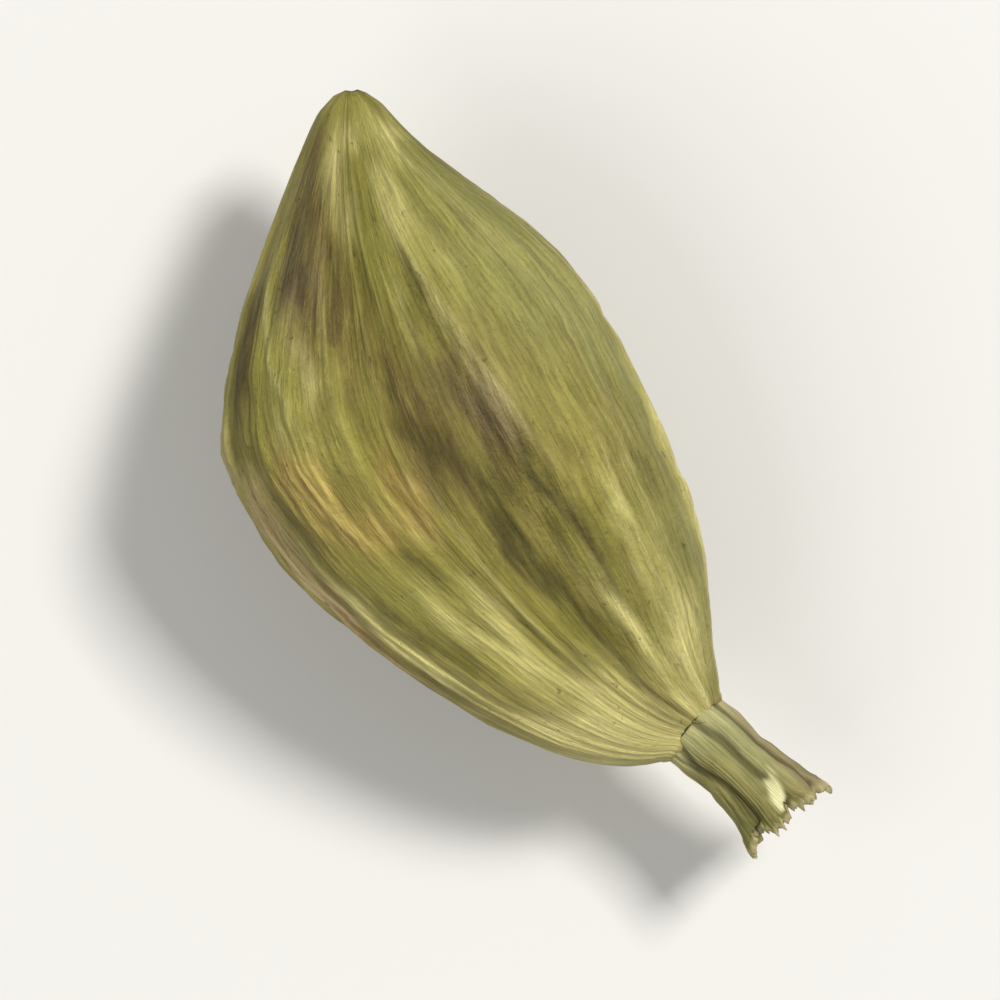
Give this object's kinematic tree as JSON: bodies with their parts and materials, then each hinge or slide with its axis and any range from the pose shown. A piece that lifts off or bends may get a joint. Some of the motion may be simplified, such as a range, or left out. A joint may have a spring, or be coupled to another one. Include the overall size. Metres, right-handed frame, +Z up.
{
  "type": "green cardamom pod",
  "caption": "Whole dried green cardamom pod: a ribbed husk of blunt lobes with furrows between them, a blunt tip and a fluted stub of stalk, lying on a small flat spot.",
  "frame": {"origin": "middle of the small flat spot under the husk, on the surface that the pod lies on", "axes": "+X runs along the pod from its tip to its stalk, +Z is up from the surface, and the stalk end bends towards +Y"},
  "size_m": [0.0196, 0.0093, 0.0075],
  "materials": {
    "husk": "matte",
    "stalk": "matte"
  },
  "bodies": {
    "root": {"husk": "husk", "stalk": "stalk"}
  },
  "joints": []
}
